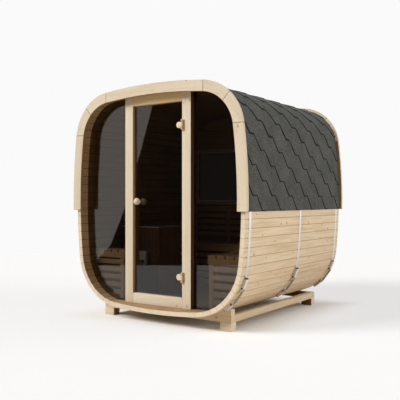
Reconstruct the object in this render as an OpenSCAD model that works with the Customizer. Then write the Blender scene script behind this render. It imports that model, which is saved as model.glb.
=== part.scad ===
// Garden sauna: a cabin of long staves with bowed sides and round corners,
// a glazed front with a swinging glass door, a shingled roof and a timber cradle.
// Millimetres. +Z is up, the glazed front faces -Y, and the origin is on the ground
// under the middle of the cabin.

/* [Body] */
// Outside width across the staves
body_w = 1998; // [1940:2:2060]
// Outside height across the staves
body_h = 2128; // [2060:2:2200]
// Length of a stave, front to rear
body_d = 2050; // [1900:10:2400]
// Height of the lowest stave above the ground
body_lift = 103; // [95:1:125]
// Bowing radius of the four sides
side_r = 5300; // [4800:50:6200]
// Radius of the two upper corners
corner_r = 432; // [400:2:470]
// Radius of the two lower corners
low_corner_r = 535; // [500:5:570]
// Stave thickness
stave_t = 42; // [36:1:46]
// Wanted stave width, met to the nearest whole stave
stave_w = 83; // [72:1:110]
// Gap between neighbouring staves
stave_gap = 0.5; // [0.3:0.1:0.8]
// Chamfer along the edges of a stave
stave_edge = 2.5; // [1:0.5:4]

/* [Arch boards] */
// Board thickness of the two arches
arch_t = 28; // [22:1:36]
// Board width of the two arches
arch_w = 100; // [90:1:120]
// How far an arch stands out past the staves
arch_out = 32; // [26:1:40]
// Height of the lower end of the arches and the roof covering
arch_z = 1072; // [1000:2:1180]
// Gap in each board joint of an arch
arch_gap = 0.6; // [0.4:0.1:0.8]

/* [Roof covering] */
// Thickness of the shingle covering
roof_t = 8; // [6:1:16]

/* [Steel bands] */
// Band thickness
band_t = 1.5; // [1:0.1:2]
// Band width
band_w = 34; // [24:1:44]
// Distance of the outer bands from the stave ends
band_inset = 82; // [60:1:140]
// Distance of the middle band behind the middle of the staves
band_shift = 42; // [0:1:80]
// Angle below level where the upper band end stops
band_top_deg = 29.5; // [26:0.5:33]
// Angle below level where the lower band end stops
band_low_deg = 43.5; // [41:0.5:47]
// Sheet thickness of a tension bracket
bracket_t = 3; // [2:0.5:4]
// Angle that a bracket covers along its band
bracket_deg = 12; // [10:0.5:13]
// Height of a bracket's folded sides
bracket_side = 22; // [16:1:28]
// Height of a bracket's end leg
bracket_leg = 34; // [32:1:44]
// Rod radius of a tensioner
rod_r = 5; // [4:0.5:6]
// Height of the rod over the band
rod_out = 22; // [20:1:24]

/* [Glazed front] */
// Distance from the stave ends back to the door frame
frame_inset = 51; // [40:1:70]
// Depth of the door frame, front to rear
frame_d = 94; // [80:1:120]
// Outside width of the door frame
frame_w = 788; // [740:2:860]
// Board width of the jambs
jamb_w = 98; // [80:1:110]
// Height of the sill board
sill_h = 97; // [70:1:120]
// Distance from the ceiling down to the door opening
head_drop = 107; // [90:1:180]
// Distance from the frame's front to the fixed panes
pane_inset = 48; // [30:1:60]
// Thickness of all glass
glass_t = 8; // [6:1:10]
// Clearance between a piece and the one that holds it
fit_gap = 0.4; // [0.3:0.1:0.6]

/* [Glass door] */
// Clearance between the door glass and its frame
door_gap = 6; // [5:0.5:10]
// Distance from the frame's front to the door glass
door_inset = 28; // [24:1:32]
// Diameter of the knobs
knob_d = 65; // [45:1:70]
// Height of the knobs over the ground
knob_z = 1158; // [950:2:1300]
// Distance from the door's free edge to the knobs
knob_edge = 60; // [50:1:90]
// Distance from the glass to a knob's middle
knob_out = 46; // [40:1:50]
// Diameter of the hinge discs
hinge_disc_d = 58; // [46:1:66]
// Thickness of the hinge discs
hinge_disc_t = 30; // [24:1:40]
// Distance from the sill up to the lower hinge
hinge_low = 189; // [120:1:300]
// Distance from the header down to the upper hinge
hinge_drop = 220; // [120:1:300]
// Height of a hinge block
hinge_h = 92; // [84:1:110]
// Radius of the hinge knuckles
knuckle_r = 11; // [9:0.5:13]
// Radius of the hinge pins
pin_r = 4; // [3:0.5:5]
// Clearance around a hinge pin
pin_gap = 0.3; // [0.2:0.05:0.5]

/* [Rear wall] */
// Distance from the stave ends to the rear wall
rear_inset = 100; // [60:1:140]
// Thickness of the rear wall
rear_t = 40; // [30:1:50]
// Distance from the side walls to the rear window's glass
window_side = 137; // [134:1:300]
// Distance from the backrest up to the window's frame
window_rise = 16; // [4:1:80]
// Distance from the ceiling down to the window's glass
window_drop = 433; // [380:1:560]
// Width of the window frame's boards
window_bar = 46; // [36:1:48]
// Depth of the window frame's boards
window_bar_d = 58; // [50:1:70]

/* [Cradle] */
// Distance from the body's side in to the cradle's ends
beam_side = 239; // [200:1:280]
// Thickness of the crossbeams
beam_t = 62; // [50:1:80]
// Height of the feet
foot_h = 77; // [60:1:82]
// Foot length along the crossbeam
foot_l = 119; // [90:1:140]
// Foot depth
foot_d = 86; // [70:1:110]
// Height of the lower beam
beam_h = 64; // [60:1:70]
// Height of the saddle blocks on the front beam
saddle_h = 56; // [46:1:62]
// Distance from the stave ends to the front crossbeam
beam_inset = 156; // [120:2:260]
// Distance from the stave ends to the rear crossbeam
rear_beam_inset = 122; // [110:2:260]
// Width of the side rails
rail_w = 60; // [45:1:62]

/* [Inside] */
// Height of the level floor
floor_z = 176; // [165:1:182]
// Height of the benches
bench_z = 670; // [620:2:720]
// Thickness of the bench boards
bench_t = 28; // [22:1:36]
// Width of the side benches
bench_w = 430; // [380:2:460]
// Depth of the rear bench
rear_bench_d = 480; // [420:2:560]
// Thickness of the screens below the benches
screen_t = 20; // [16:1:26]
// Gap between the glazed front and the benches
bench_front = 58; // [40:1:90]
// Length of the short left bench
short_bench = 300; // [260:2:330]
// Top of the backrest
backrest_z = 1100; // [1000:2:1140]
// Thickness of the backrest
backrest_t = 40; // [30:1:50]

/* [Heater] */
// Distance from the front glass to the heater guard
guard_y = 430; // [420:2:520]
// Length of the guard along the wall
guard_l = 380; // [340:2:460]
// Distance from the left wall's inside to the guard's face
guard_w = 590; // [520:2:620]
// Top of the guard
guard_z = 890; // [800:2:960]
// Thickness of the guard's panels
guard_t = 22; // [18:1:28]
// Height of the heater's body
heater_h = 540; // [460:2:560]
// Height of the heater above the floor
heater_lift = 140; // [100:2:150]
// Space between the heater and its guard
heater_space = 50; // [40:1:70]
// Space between the heater and the wall
heater_wall = 188; // [184:1:210]
// Depth of the heater's stone well
well_h = 160; // [100:2:220]
// Sheet thickness around the stone well
well_t = 12; // [6:1:20]
// Height of the heater's wall bracket
wall_bracket_h = 80; // [50:1:120]
// Space between the guard's end panels and the wall
guard_wall = 70; // [60:1:100]
// Width of the heater's control box
control_w = 136; // [100:1:160]
// Height of the control box
control_h = 154; // [120:1:200]
// Depth of the control box
control_d = 46; // [36:1:60]
// Distance from the guard's corner to the control box
control_in = 134; // [100:1:200]
// Height of the control box over the floor
control_z = 303; // [200:1:400]

/* [Hidden] */
$fn = 48;
half_w = body_w / 2;
half_h = body_h / 2;
mid_z = body_lift + half_h;
stave_end = body_d / 2;
inside_half = half_w - stave_t;
ceiling_z = mid_z + half_h - stave_t;

// Tangent arcs: side, corner and top circles meet without a kink
side_off = side_r - half_w;
top_off = side_r - half_h;
centre_gap = norm([side_off, top_off]);
function reach(r) = sqrt(pow(side_r - r, 2) - pow(centre_gap / 2, 2));
function centre_x(r) = -side_off / 2 + reach(r) * top_off / centre_gap;
function centre_z(r) = -top_off / 2 + reach(r) * side_off / centre_gap;
corner_x = centre_x(corner_r);
corner_z = centre_z(corner_r);
side_deg = atan2(corner_z, corner_x + side_off);
top_deg = atan2(corner_x, corner_z + top_off);
low_x = centre_x(low_corner_r);
low_z = centre_z(low_corner_r);
low_side_deg = atan2(low_z, low_x + side_off);
low_deg = atan2(low_x, low_z + top_off);

// Whole staves in each arc
function whole_staves(r, deg) = round(r * deg * PI / 180 / stave_w);
side_count = whole_staves(side_r, side_deg + low_side_deg);
top_count = whole_staves(side_r, 2 * top_deg);
under_count = whole_staves(side_r, 2 * low_deg);
corner_count = whole_staves(corner_r, 90 - side_deg - top_deg);
low_count = whole_staves(low_corner_r, 90 - low_side_deg - low_deg);

// Cut lines of the arch boards, at the ends of the corner arcs
arch_r = side_r + arch_out;
cut_x = arch_r * sin(top_deg);
cut_z = arch_r * sin(side_deg);

// Planes along the depth
frame_y = -stave_end + frame_inset;
frame_back = frame_y + frame_d;
pane_y = frame_y + pane_inset;
door_y = frame_y + door_inset;
rear_y = stave_end - rear_inset - rear_t;
rear_back = rear_y + rear_t;
bench_y = pane_y + glass_t + bench_front;
rear_bench_y = rear_y - rear_bench_d;

// Door opening
open_half = frame_w / 2 - jamb_w;
open_z0 = floor_z + sill_h;
open_z1 = ceiling_z - head_drop;
door_half = open_half - door_gap;
knob_x = -door_half + knob_edge;
knob_axis_y = door_y + glass_t / 2;
knob_neck_r = 11;
knob_bolt_r = 5;

// Hinges: the pins stand in front of the right jamb
leaf_t = 4;
knuckle_gap = 1;
pin_x = open_half + 10;
pin_y = frame_y - leaf_t - knuckle_gap - knuckle_r;
knuckle_h = hinge_h / 2;
knuckle_end = (hinge_h - knuckle_h) / 2 - knuckle_gap;
hinge_heights = [open_z0 + hinge_low, open_z1 - hinge_drop];
disc_x = door_half - hinge_disc_d / 2;

// Cradle
beam_y = stave_end - beam_inset;
rear_beam_y = stave_end - rear_beam_inset;
beam_z = foot_h + beam_h;
beam_half = half_w - beam_side;

// Benches
bench_in = inside_half - bench_w - 24;
seat_low = bench_z - bench_t;

// Heater
guard_front = pane_y + glass_t + guard_y;
guard_back = guard_front + guard_l;
guard_face = -inside_half + guard_w;
heater_z = floor_z + heater_lift;

timber = [0.86, 0.76, 0.6];
glass_tint = [0.2, 0.2, 0.2, 0.6];
steel = [0.75, 0.75, 0.74];
bitumen = [0.28, 0.28, 0.27];
iron = [0.2, 0.2, 0.2];

// Points on an arc, without its last point
function arc(centre, r, a0, a1, steps) =
    [for (i = [0 : steps - 1])
        let (a = a0 + (a1 - a0) * i / steps)
        centre + r * [cos(a), sin(a)]];

// The body's cross-section, moved out by off, with k chords to each stave
function body_points(off, k) = concat(
    arc([-side_off, 0], side_r + off, -low_side_deg, side_deg, side_count * k),
    arc([corner_x, corner_z], corner_r + off, side_deg, 90 - top_deg, corner_count * k),
    arc([0, -top_off], side_r + off, 90 - top_deg, 90 + top_deg, top_count * k),
    arc([-corner_x, corner_z], corner_r + off, 90 + top_deg, 180 - side_deg, corner_count * k),
    arc([side_off, 0], side_r + off, 180 - side_deg, 180 + low_side_deg, side_count * k),
    arc([-low_x, -low_z], low_corner_r + off, 180 + low_side_deg, 270 - low_deg, low_count * k),
    arc([0, top_off], side_r + off, 270 - low_deg, 270 + low_deg, under_count * k),
    arc([low_x, -low_z], low_corner_r + off, 270 + low_deg, 360 - low_side_deg, low_count * k));

module body_outline(off, k = 1) {
    translate([0, mid_z])
    polygon(body_points(off, k));
}

// A drawing in the X-Z plane, given depth from y0 to y1
module across(y0, y1) {
    translate([0, (y0 + y1) / 2, 0])
    rotate([90, 0, 0])
    linear_extrude(height = y1 - y0, center = true)
    children();
}

module block(x0, x1, y0, y1, z0, z1) {
    translate([x0, y0, z0])
    cube([x1 - x0, y1 - y0, z1 - z0]);
}

module rect(x0, x1, z0, z1) {
    translate([x0, z0])
    square([x1 - x0, z1 - z0]);
}

module both_sides() {
    children();
    mirror([1, 0, 0]) children();
}

// Corner of a stave at radius r, in from the joint at angle a by a distance
function stave_corner(centre, r, a, inward) =
    let (b = a + inward / r * 180 / PI)
    centre + r * [cos(b), sin(b)];

// Staves: wedges between two radii, chamfered along all four edges
module staves(centre, r, a0, a1, count) {
    half_gap = stave_gap / 2;
    inner_r = r - stave_t;
    step = (a1 - a0) / count;
    for (i = [0 : count - 1]) {
        b0 = a0 + step * i;
        b1 = b0 + step;
        across(-stave_end, stave_end)
        translate([0, mid_z])
        polygon([
            stave_corner(centre, r - stave_edge, b0, half_gap),
            stave_corner(centre, r, b0, half_gap + stave_edge),
            stave_corner(centre, r, b1, -half_gap - stave_edge),
            stave_corner(centre, r - stave_edge, b1, -half_gap),
            stave_corner(centre, inner_r + stave_edge, b1, -half_gap),
            stave_corner(centre, inner_r, b1, -half_gap - stave_edge),
            stave_corner(centre, inner_r, b0, half_gap + stave_edge),
            stave_corner(centre, inner_r + stave_edge, b0, half_gap)]);
    }
}

module upper_staves() {
    staves([corner_x, corner_z], corner_r, side_deg, 90 - top_deg, corner_count);
}

module lower_staves() {
    staves([low_x, -low_z], low_corner_r, 270 + low_deg, 360 - low_side_deg, low_count);
}

module wall_staves() {
    staves([-side_off, 0], side_r, -low_side_deg, side_deg, side_count);
}

module right_wall() {
    color(timber) wall_staves();
}

module left_wall() {
    color(timber) mirror([1, 0, 0]) wall_staves();
}

module ceiling() {
    color(timber)
    staves([0, -top_off], side_r, 90 - top_deg, 90 + top_deg, top_count);
}

module underside() {
    color(timber)
    staves([0, top_off], side_r, 270 - low_deg, 270 + low_deg, under_count);
}

module upper_left_corner() {
    color(timber) mirror([1, 0, 0]) upper_staves();
}

module upper_right_corner() {
    color(timber) upper_staves();
}

module lower_left_corner() {
    color(timber) mirror([1, 0, 0]) lower_staves();
}

module lower_right_corner() {
    color(timber) lower_staves();
}

// Arches
module arch_ring() {
    difference() {
        body_outline(arch_out, 4);
        body_outline(arch_out - arch_w, 4);
    }
}

module arch_top(y0) {
    across(y0, y0 + arch_t)
    intersection() {
        arch_ring();
        rect(-cut_x + arch_gap / 2, cut_x - arch_gap / 2, mid_z, mid_z + body_h);
    }
}

module arch_sides(y0) {
    both_sides()
    across(y0, y0 + arch_t)
    intersection() {
        arch_ring();
        rect(0, body_w, arch_z, mid_z + cut_z - arch_gap / 2);
    }
}

// Two mitred boards to each corner, cut on the corner's bisector
module arch_corners(y0) {
    both_sides()
    for (lower = [0, 1])
    across(y0, y0 + arch_t)
    intersection() {
        arch_ring();
        rect(cut_x + arch_gap / 2, body_w, mid_z + cut_z + arch_gap / 2, mid_z + body_h);
        translate([corner_x, mid_z + corner_z])
        rotate(45 + (top_deg - side_deg) / -2 - (lower ? 180 : 0))
        translate([-body_w, arch_gap / 2])
        square([2 * body_w, body_w]);
    }
}

module front_arch_top() {
    color(timber) arch_top(-stave_end - arch_t);
}

module front_arch_sides() {
    color(timber) arch_sides(-stave_end - arch_t);
}

module front_arch_corners() {
    color(timber) arch_corners(-stave_end - arch_t);
}

module rear_arch_top() {
    color(timber) arch_top(stave_end);
}

module rear_arch_sides() {
    color(timber) arch_sides(stave_end);
}

module rear_arch_corners() {
    color(timber) arch_corners(stave_end);
}

// Roof covering, laid over the bands
module roof_covering() {
    color(bitumen)
    across(-stave_end + fit_gap, stave_end - fit_gap)
    intersection() {
        difference() {
            body_outline(band_t + 2 * fit_gap + roof_t, 3);
            body_outline(band_t + 2 * fit_gap, 3);
        }
        rect(-body_w, body_w, arch_z, mid_z + body_h);
    }
}

// Bands, open between the two tension brackets at the lower right corner
band_places = [-stave_end + band_inset, band_shift, stave_end - band_inset];
band_low = fit_gap;
band_face = band_low + band_t + fit_gap / 2;
rod_gap = 0.6;

// A wedge about the lower right corner's centre, between two angles below level
module corner_wedge(deg0, deg1) {
    far = 2 * low_corner_r;
    translate([low_x, mid_z - low_z])
    polygon([
        [0, 0],
        far * [cos(-deg0), sin(-deg0)],
        far * [cos(-deg1), sin(-deg1)]]);
}

module steel_bands() {
    color(steel)
    for (y = band_places)
    across(y - band_w / 2, y + band_w / 2)
    difference() {
        body_outline(band_low + band_t);
        body_outline(band_low);
        corner_wedge(band_top_deg, band_low_deg);
    }
}

// A layer on the band between two angles, from the band's face up to a height
module band_layer(deg0, deg1, height) {
    intersection() {
        difference() {
            body_outline(band_face + height);
            body_outline(band_face);
        }
        corner_wedge(deg0, deg1);
    }
}

// A folded channel on the band, closed by a leg at the band's end
module bracket(deg, away) {
    far_deg = deg + away * bracket_deg;
    leg_deg = deg + away * bracket_t / low_corner_r * 180 / PI;
    half = band_w / 2 + bracket_t;
    difference() {
        union() {
            across(-half, half) band_layer(min(deg, far_deg), max(deg, far_deg), bracket_t);
            across(-half, half) band_layer(min(deg, leg_deg), max(deg, leg_deg), bracket_leg);
            for (y = [-half, half - bracket_t])
            across(y, y + bracket_t)
            band_layer(min(deg, far_deg), max(deg, far_deg), bracket_side);
        }
        rod_line() cylinder(r = rod_r + rod_gap, h = 2 * low_corner_r, center = true);
    }
}

// The line of the rod, square to the bisector of the band's opening
module rod_line() {
    mid_deg = (band_top_deg + band_low_deg) / 2;
    half_deg = (band_low_deg - band_top_deg) / 2;
    translate([low_x, 0, mid_z - low_z])
    rotate([0, mid_deg, 0])
    translate([(low_corner_r + band_face + rod_out) * cos(half_deg), 0, 0])
    children();
}

module tension_brackets() {
    color(steel)
    for (y = band_places) {
        translate([0, y, 0]) bracket(band_top_deg, -1);
        translate([0, y, 0]) bracket(band_low_deg, 1);
    }
}

// A threaded rod between the brackets, with a nut behind each leg
module tension_rods() {
    half_deg = (band_low_deg - band_top_deg) / 2;
    chord = 2 * (low_corner_r + band_face + rod_out) * sin(half_deg);
    tail = 18;
    nut_h = 8;
    nut_r = 9;
    leg = bracket_t / cos(half_deg) + nut_r * tan(half_deg) + 2;
    color(steel)
    for (y = band_places)
    translate([0, y, 0])
    rod_line() {
        cylinder(r = rod_r, h = chord + 2 * (leg + tail), center = true);
        for (s = [-1, 1])
        translate([0, 0, s * (chord / 2 + leg + nut_h / 2)])
        cylinder(r = nut_r, h = nut_h, center = true, $fn = 6);
    }
}

// Glazed front
module inside_outline() {
    body_outline(-stave_t - fit_gap);
}

module glass_pane() {
    across(pane_y, pane_y + glass_t)
    intersection() {
        inside_outline();
        rect(frame_w / 2 + fit_gap, body_w, floor_z + fit_gap, body_h + mid_z);
    }
}

module left_glass_pane() {
    color(glass_tint) mirror([1, 0, 0]) glass_pane();
}

module right_glass_pane() {
    color(glass_tint) glass_pane();
}

module jamb() {
    across(frame_y, frame_back)
    intersection() {
        inside_outline();
        rect(open_half, frame_w / 2, floor_z + fit_gap, body_h + mid_z);
    }
}

module left_jamb() {
    color(timber) mirror([1, 0, 0]) jamb();
}

module right_jamb() {
    color(timber) jamb();
}

module door_header() {
    color(timber)
    across(frame_y, frame_back)
    intersection() {
        inside_outline();
        rect(-open_half + fit_gap, open_half - fit_gap, open_z1, body_h + mid_z);
    }
}

module door_sill() {
    color(timber)
    across(frame_y, frame_back)
    rect(-open_half + fit_gap, open_half - fit_gap, floor_z + fit_gap, open_z0);
}

// Hinges
module hinge_places() {
    for (z = hinge_heights)
    translate([pin_x, pin_y, z])
    children();
}

module pin_bore() {
    cylinder(r = pin_r + pin_gap, h = hinge_h + 2, center = true);
}

// Fixed half: a leaf on the jamb with a knuckle at each end
module hinge_blocks() {
    color(timber)
    hinge_places()
    difference() {
        union() {
            translate([-knuckle_r, knuckle_r + knuckle_gap, -hinge_h / 2])
            cube([2 * knuckle_r + 8, leaf_t, hinge_h]);
            for (s = [-1, 1])
            translate([0, 0, s * (hinge_h - knuckle_end) / 2]) {
                cylinder(r = knuckle_r, h = knuckle_end, center = true);
                translate([-knuckle_r, 0, -knuckle_end / 2])
                cube([2 * knuckle_r, knuckle_r + knuckle_gap + leaf_t / 2, knuckle_end]);
            }
        }
        pin_bore();
    }
}

module hinge_pins() {
    color(steel)
    hinge_places()
    cylinder(r = pin_r, h = hinge_h + 6, center = true);
}

// Moving half: a round block on the glass with an arm to its knuckle
module hinge_discs() {
    arm_x = pin_x - disc_x;
    face_y = door_y - fit_gap / 2 - pin_y;
    arm_h = knuckle_h - 2;
    arm_t = 13;
    arm_in = arm_x - hinge_disc_d / 2 + arm_t + 1;
    color(timber)
    hinge_places()
    difference() {
        union() {
            cylinder(r = knuckle_r, h = arm_h, center = true);
            translate([-arm_in, -knuckle_r, -arm_h / 2])
            cube([arm_in, knuckle_r + pin_r + pin_gap + 1, arm_h]);
            translate([-arm_in, -knuckle_r, -arm_h / 2])
            cube([arm_t, knuckle_r + face_y - hinge_disc_t / 2, arm_h]);
            translate([-arm_x, face_y - hinge_disc_t, 0])
            rotate([-90, 0, 0])
            cylinder(d = hinge_disc_d, h = hinge_disc_t);
        }
        pin_bore();
    }
}

// Door
module door_glass() {
    color(glass_tint)
    difference() {
        block(-door_half, door_half, door_y, door_y + glass_t,
            open_z0 + door_gap, open_z1 - door_gap);
        translate([knob_x, knob_axis_y, knob_z])
        rotate([90, 0, 0])
        cylinder(r = knob_bolt_r + fit_gap, h = 4 * glass_t, center = true);
    }
}

// Two balls on necks, joined by a bolt through the glass
module door_knobs() {
    ball_r = knob_d / 2;
    neck_low = glass_t / 2 + fit_gap / 2;
    ball_mid = glass_t / 2 + knob_out;
    first = asin(knob_neck_r / ball_r);
    steps = 16;
    sweep = [for (i = [0 : steps])
        let (a = first + (180 - first) * i / steps)
        [ball_r * sin(a), ball_mid - ball_r * cos(a)]];
    half = concat([[0, 0], [knob_bolt_r, 0], [knob_bolt_r, neck_low], [knob_neck_r, neck_low]], sweep);
    color(timber)
    translate([knob_x, knob_axis_y, knob_z])
    rotate([90, 0, 0])
    union() {
        rotate_extrude() polygon(half);
        mirror([0, 0, 1]) rotate_extrude() polygon(half);
    }
}

// Rear wall around its window
window_half = inside_half - window_side;
frame_half = window_half + window_bar;
frame_low = backrest_z + window_rise;
window_z0 = frame_low + window_bar;
window_z1 = ceiling_z - window_drop;
frame_high = window_z1 + window_bar;

module rear_wall_lower() {
    color(timber)
    across(rear_y, rear_back)
    intersection() {
        inside_outline();
        rect(-body_w, body_w, floor_z + fit_gap, frame_low - fit_gap);
    }
}

module rear_wall_upper() {
    color(timber)
    across(rear_y, rear_back)
    intersection() {
        inside_outline();
        rect(-body_w, body_w, frame_high + fit_gap, mid_z + body_h);
    }
}

module rear_wall_sides() {
    color(timber)
    both_sides()
    across(rear_y, rear_back)
    intersection() {
        inside_outline();
        rect(frame_half + fit_gap, body_w, frame_low, frame_high);
    }
}

module window_frame() {
    y0 = rear_y + (rear_t - window_bar_d) / 2;
    y1 = y0 + window_bar_d;
    color(timber) {
        for (z = [frame_low, window_z1])
        block(-frame_half, frame_half, y0, y1, z, z + window_bar);
        for (x = [-frame_half, window_half])
        block(x, x + window_bar, y0, y1, window_z0 + fit_gap, window_z1 - fit_gap);
    }
}

module window_glass() {
    y0 = rear_y + (rear_t - glass_t) / 2;
    color(glass_tint)
    block(-window_half + fit_gap, window_half - fit_gap, y0, y0 + glass_t,
        window_z0 + fit_gap, window_z1 - fit_gap);
}

// Cradle
module crossbeam_places() {
    across(-beam_y, -beam_y + beam_t) children();
    across(rear_beam_y - beam_t, rear_beam_y) children();
}

module crossbeams() {
    color(timber)
    crossbeam_places()
    difference() {
        rect(-beam_half, beam_half, foot_h, beam_z);
        body_outline(fit_gap);
    }
}

// Blocks on the front crossbeam, cut to the body
module saddles() {
    color(timber)
    both_sides()
    across(-beam_y, -beam_y + beam_t)
    difference() {
        rect(low_x, beam_half, beam_z + fit_gap, beam_z + saddle_h);
        body_outline(fit_gap);
    }
}

module side_rails() {
    color(timber)
    both_sides()
    block(beam_half - rail_w, beam_half, -beam_y + beam_t + fit_gap,
        rear_beam_y - beam_t - fit_gap, foot_h, beam_z);
}

module feet() {
    color(timber)
    both_sides()
    for (y = [-beam_y, rear_beam_y - foot_d])
    block(beam_half - foot_l, beam_half, y, y + foot_d, 0, foot_h - fit_gap);
}

// Inside
module floor_deck() {
    color(timber)
    across(-stave_end + fit_gap, stave_end - rear_inset)
    intersection() {
        inside_outline();
        rect(-half_w, half_w, 0, floor_z);
    }
}

module seat_outline(x0, x1) {
    intersection() {
        inside_outline();
        rect(x0, x1, seat_low, bench_z);
    }
}

module bench_seats() {
    color(timber) {
        across(bench_y, rear_bench_y - fit_gap) seat_outline(bench_in, body_w);
        across(bench_y, bench_y + short_bench) seat_outline(-body_w, -bench_in);
        across(rear_bench_y, rear_y - fit_gap) seat_outline(-body_w, body_w);
    }
}

module end_screen(x0, x1) {
    across(bench_y, bench_y + screen_t)
    intersection() {
        inside_outline();
        rect(x0, x1, floor_z + fit_gap, seat_low - fit_gap);
    }
}

module bench_screens() {
    z0 = floor_z + fit_gap;
    z1 = seat_low - fit_gap;
    y0 = bench_y + screen_t + fit_gap;
    color(timber) {
        end_screen(bench_in, body_w);
        end_screen(-body_w, -bench_in);
        block(bench_in, bench_in + screen_t, y0, rear_bench_y - fit_gap, z0, z1);
        block(-bench_in - screen_t, -bench_in, y0, bench_y + short_bench, z0, z1);
        across(rear_bench_y, rear_bench_y + screen_t)
        intersection() {
            inside_outline();
            rect(-body_w, body_w, z0, z1);
        }
    }
}

module backrest() {
    color(timber)
    across(rear_y - backrest_t, rear_y - fit_gap)
    intersection() {
        body_outline(-stave_t - 20);
        rect(-body_w, body_w, bench_z + fit_gap, backrest_z);
    }
}

// Heater: a steel casing with an open stone well, on a bracket to the wall
module heater() {
    x0 = -inside_half + heater_wall;
    x1 = guard_face - guard_t - heater_space;
    y0 = guard_front + guard_t + heater_space;
    y1 = guard_back - guard_t - heater_space;
    top_z = heater_z + heater_h;
    mid_y = (y0 + y1) / 2;
    bracket_z = heater_z + heater_h / 3;
    color(iron) {
        difference() {
            block(x0, x1, y0, y1, heater_z, top_z);
            block(x0 + well_t, x1 - well_t, y0 + well_t, y1 - well_t, top_z - well_h, top_z + well_h);
        }
        across(mid_y - wall_bracket_h / 2, mid_y + wall_bracket_h / 2)
        intersection() {
            inside_outline();
            rect(-body_w, x0 - fit_gap, bracket_z, bracket_z + wall_bracket_h);
        }
    }
}

// Guard: three upright panels around the heater
module heater_guard() {
    side_l = guard_l - 2 * guard_t - 2 * fit_gap;
    end_l = guard_w - guard_wall;
    z0 = floor_z + fit_gap;
    color(timber) {
        block(guard_face - guard_t, guard_face, guard_front + guard_t + fit_gap,
            guard_front + guard_t + fit_gap + side_l, z0, guard_z);
        for (y = [guard_front, guard_back - guard_t])
        across(y, y + guard_t)
        intersection() {
            inside_outline();
            rect(guard_face - end_l, guard_face, z0, guard_z);
        }
    }
}

// Control box on the front panel of the guard
module control_box() {
    x1 = guard_face - control_in;
    y1 = guard_front - fit_gap;
    z0 = floor_z + control_z;
    color(steel)
    block(x1 - control_w, x1, y1 - control_d, y1, z0, z0 + control_h);
}

left_wall();
right_wall();
ceiling();
underside();
upper_left_corner();
upper_right_corner();
lower_left_corner();
lower_right_corner();
front_arch_top();
front_arch_sides();
front_arch_corners();
rear_arch_top();
rear_arch_sides();
rear_arch_corners();
roof_covering();
steel_bands();
tension_brackets();
tension_rods();
left_glass_pane();
right_glass_pane();
left_jamb();
right_jamb();
door_header();
door_sill();
hinge_blocks();
hinge_pins();
door_glass();
door_knobs();
hinge_discs();
rear_wall_lower();
rear_wall_upper();
rear_wall_sides();
window_frame();
window_glass();
crossbeams();
saddles();
side_rails();
feet();
floor_deck();
bench_seats();
bench_screens();
backrest();
heater();
heater_guard();
control_box();
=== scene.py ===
"""Looks of the garden sauna: staves, arches, shingles, glazing, bands, benches, heater and studio."""

import math
import random

import bmesh
import bpy
import numpy as np
from mathutils import Matrix, Vector


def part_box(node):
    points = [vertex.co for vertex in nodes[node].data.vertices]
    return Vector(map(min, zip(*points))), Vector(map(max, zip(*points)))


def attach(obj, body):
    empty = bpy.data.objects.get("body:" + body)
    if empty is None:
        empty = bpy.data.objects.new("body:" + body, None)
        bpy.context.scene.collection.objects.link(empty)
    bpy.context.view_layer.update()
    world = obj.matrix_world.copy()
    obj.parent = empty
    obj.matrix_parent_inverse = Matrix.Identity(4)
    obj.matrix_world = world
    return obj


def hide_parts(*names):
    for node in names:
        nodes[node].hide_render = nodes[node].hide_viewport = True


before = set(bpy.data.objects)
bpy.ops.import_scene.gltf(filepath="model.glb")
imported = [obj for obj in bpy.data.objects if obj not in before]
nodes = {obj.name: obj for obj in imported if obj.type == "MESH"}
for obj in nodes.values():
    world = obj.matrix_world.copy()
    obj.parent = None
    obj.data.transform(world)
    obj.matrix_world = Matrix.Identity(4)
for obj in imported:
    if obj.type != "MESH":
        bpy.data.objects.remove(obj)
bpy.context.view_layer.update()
scene = bpy.context.scene

# Body section, in metres: bowed sides, round corners, staves
HALF_W = 0.999
HALF_H = 1.064
SIDE_R = 5.3
CORNER_R = 0.432
LOW_CORNER_R = 0.535
STAVE_T = 0.042
MID_Z = 1.167
STAVE_END = 1.025
ARCH_Z = 1.072
ARCH_OUT = 0.032
ARCH_T = 0.028
ARCH_CORNER_Z = 1.8
END_GROOVE = 0.0018
JOINT_CLOSE = 0.0003
DECK_TOP = 0.177
STAVE_FIT = 0.003
WALL_FIT = 0.004

# Directions of the grain
LEVEL = (1, 0, 0)
ALONG = (0, 1, 0)
UPRIGHT = (0, 0, 1)

SIDE_OFF = SIDE_R - HALF_W
TOP_OFF = SIDE_R - HALF_H
CENTRE_GAP = math.hypot(SIDE_OFF, TOP_OFF)


def corner_centre(r):
    """Centre of a corner arc that is tangent to the bowed sides, from the middle of the section."""
    reach = math.sqrt((SIDE_R - r) ** 2 - (CENTRE_GAP / 2) ** 2)
    return -SIDE_OFF / 2 + reach * TOP_OFF / CENTRE_GAP, -TOP_OFF / 2 + reach * SIDE_OFF / CENTRE_GAP


CORNER_X, CORNER_Z = corner_centre(CORNER_R)
LOW_X, LOW_Z = corner_centre(LOW_CORNER_R)
SIDE_ANG = math.atan2(CORNER_Z, CORNER_X + SIDE_OFF)
TOP_ANG = math.atan2(CORNER_X, CORNER_Z + TOP_OFF)
START_ANG = math.asin((ARCH_Z - MID_Z) / SIDE_R)
SIDE_LEN = SIDE_R * (SIDE_ANG - START_ANG)
CORNER_LEN = CORNER_R * (math.pi / 2 - SIDE_ANG - TOP_ANG)
TOP_LEN = SIDE_R * TOP_ANG
ROOF_LEN = SIDE_LEN + CORNER_LEN + TOP_LEN


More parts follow.
